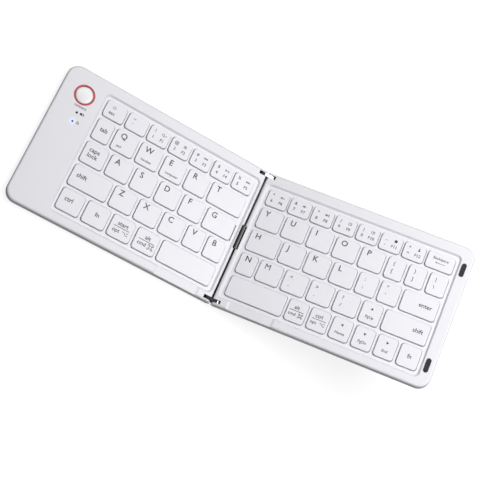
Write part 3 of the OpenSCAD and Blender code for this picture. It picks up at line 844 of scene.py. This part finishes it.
dome = [(0, 0.5), (1.4, 0.475), (2.8, 0.39), (3.9, 0.27), (4.8, 0.12), (5.25, 0.0), (5.45, -0.15), (5.5, -0.4)]
button = turned_piece(dome + [(5.5, -1.55), (6.2, -1.55), (6.2, -2.0), (1.5, -2.0), (1.5, -2.25), (0, -2.25)])
solid("button_cap", moved(button, *BUTTON, 0), LEFT, "connect_button", button_plastic, ["connect_button"])
ring = turned_piece([(5.7, -0.6), (5.7, 0.06), (5.76, 0.12), (5.88, 0.15), (6.6, 0.15), (6.72, 0.12), (6.8, 0.04),
                     (6.8, -0.6), (5.7, -0.6)])
solid("button_ring", moved(ring, *BUTTON, 0), LEFT, "left_half", ring_plastic, ["connect_ring"])
BATTERY_LAMP = (-130.1, 19.9)
for name, (x, y), radius, finish in (
    ("battery_lamp", BATTERY_LAMP, 0.8, dark_lens),
    ("signal_lamp", SIGNAL_LAMP, 0.7, blue_lens),
):
    section = [(0, 0.02), (radius * 0.6, 0.01), (radius * 0.9, -0.02), (radius, -0.1), (radius, -1.7), (0, -1.7)]
    lens = turned_piece(section, 32)
    solid(name, moved(lens, x, y, 0), LEFT, "left_half", finish, ["status_lenses"])
print("button, ring and two lamps")

# %% [markdown]
# ## Rubber feet and bumpers
#
# Each foot and bumper is a small moulded rubber pad with round ends. The pads are blocks with nearly full corner
# rounding and a soft rim, so that they read as rubber and not as cut sheet.

# %% Pads
def pads(spots, size, low, high, corner, rim_up, rim_down):
    made = []
    for x, y in spots:
        pad = rounded_block((size[0], size[1], high - low), corner, rim_up, rim_down, corner_segments=8)
        made.append(moved(pad, x, y, (low + high) / 2))
    return join(made)


for side, home, body in ((-1, LEFT, "left_half"), (1, RIGHT, "right_half")):
    name = "left" if side < 0 else "right"
    spots = [(side * u, y) for u in (12, 134.5) for y in (-40.3, 40.3)]
    solid(name + "_foot_pads", pads(spots, (10, 2.8), -7.2, -6.3, 1.35, 0, 0.25), home, body, foot_rubber,
          [name + "_feet"])
spots = [(141.4, 32.9), (141.4, -33.9)]
solid("bumper_pads", pads(spots, (3, 9.2), -0.6, 0.9, 1.45, 0.35, 0), RIGHT, "right_half", bumper_rubber,
      ["bumpers"])
print("feet and bumpers")

# %% [markdown]
# ## The hinge
#
# The link plates, their pins and the spine keep the engineering shapes, because these are exact and already
# have the right outline. The cable that crosses the fold has to bend, so it is drawn as two strips that meet on
# the crest. The photograph also shows a black line beside the G
# key. It is read as the mouth that the cable passes into, which is a guess.

# %% Flat cable over the fold
CABLE_R, CABLE_T, CABLE_TAIL = 1.88, 0.25, 1.9
CABLE_FRONT, CABLE_WIDTH = -9.0, 16.7


def cable_half(side):
    section = bmesh.new()
    bmesh.ops.create_circle(section, radius=CABLE_R, segments=48)
    bmesh.ops.rotate(section, verts=section.verts, matrix=Matrix.Rotation(radians(90), 3, "X"))
    bmesh.ops.delete(
        section, geom=[v for v in section.verts if v.co.z < -1e-4 or side * v.co.x < -1e-4], context="VERTS"
    )
    tip = min(section.verts, key=lambda v: v.co.z)
    tail = bmesh.ops.extrude_vert_indiv(section, verts=[tip])["verts"]
    bmesh.ops.translate(section, vec=(side * CABLE_TAIL, 0, -0.1), verts=tail)
    bmesh.ops.translate(section, vec=(0, CABLE_FRONT, -PIN_DROP), verts=section.verts)
    strip = bmesh.ops.extrude_edge_only(section, edges=section.edges[:])
    far_side = [v for v in strip["geom"] if isinstance(v, bmesh.types.BMVert)]
    bmesh.ops.translate(section, vec=(0, CABLE_WIDTH, 0), verts=far_side)
    bmesh.ops.recalc_face_normals(section, faces=section.faces)
    bmesh.ops.solidify(section, geom=section.faces[:], thickness=CABLE_T)
    bmesh.ops.recalc_face_normals(section, faces=section.faces)
    section.transform(LINK)
    made = as_object("cable_left" if side < 0 else "cable_right", section, cable_film)
    if side < 0:
        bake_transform(made)
    else:
        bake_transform(made)
    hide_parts("hinge_flex_cable")


cable_half(-1)
cable_half(1)
mouth = moved(rounded_block((0.66, 11.6, 0.04), 0.2, 0, corner_segments=3), -5.7, -0.2, -1.38)
solid("cable_mouth", mouth, LEFT, "left_half", cable_film)
print("two halves of the flat cable and its mouth beside the keys")

# %% [markdown]
# ## Black liners in the slots of the links
#
# Each link plate turns in a slot of the case, and the photograph shows a dark line round each end of a link. What
# makes that line is a guess: here thin black liners cover the walls of the slot, thinner than the play beside the
# plate.

# %% Slot liners
# Distance from the fold, distance from the middle of the hinge, and size of the slot's three walls
SLOT_WALLS = (
    (6.44, 46.3, (0.12, 2.4, 5.1)),
    (5.0, 45.14, (2.9, 0.08, 5.1)),
    (5.0, 47.46, (2.9, 0.08, 5.1)),
)
SLOT_MIDDLE = -2.75


def liner(side):
    walls = []
    for end in (-1, 1):
        for u, y, size in SLOT_WALLS:
            wall = rounded_block(size, 0.02, 0.02, corner_segments=1, edge_segments=1)
            walls.append(moved(wall, side * u, end * y, SLOT_MIDDLE))
    return join(walls)


for side, home, body in ((-1, LEFT, "left_half"), (1, RIGHT, "right_half")):
    solid(("left" if side < 0 else "right") + "_slot_liners", liner(side), home, body, spine_plastic)
print("liners in four slots")

# %% [markdown]
# ## Finishes for the engineering nodes
#
# What is left keeps its engineering mesh and only needs its finish.

# %% Dress the nodes
DRESS = {
    lit_case_plastic: ["left_top_frame"],
    case_plastic: ["right_top_frame"],
    cover_plastic: ["left_bottom_cover", "right_bottom_cover"],
    plate_metal: ["left_support_plate", "right_support_plate"],
    dome_rubber: ["left_switch_sheet", "right_switch_sheet"],
    clip_plastic: ["left_scissors", "right_scissors"],
    board_lacquer: ["main_board"],
    cell_wrap: ["battery"],
    socket_metal: ["charge_port"],
    magnet_metal: ["left_magnets", "right_magnets"],
    front_link_metal: ["front_hinge_link"],
    rear_link_metal: ["rear_hinge_link"],
    pin_metal: ["hinge_pins"],
    spine_plastic: ["hinge_spine"],
}
for finish, names in DRESS.items():
    for name in names:
        for place in NODES[name].material_slots:
            place.material = finish
shown = [o.name for o in NODES.values() if not o.hide_render]
print(len(shown), "nodes keep their engineering shape")
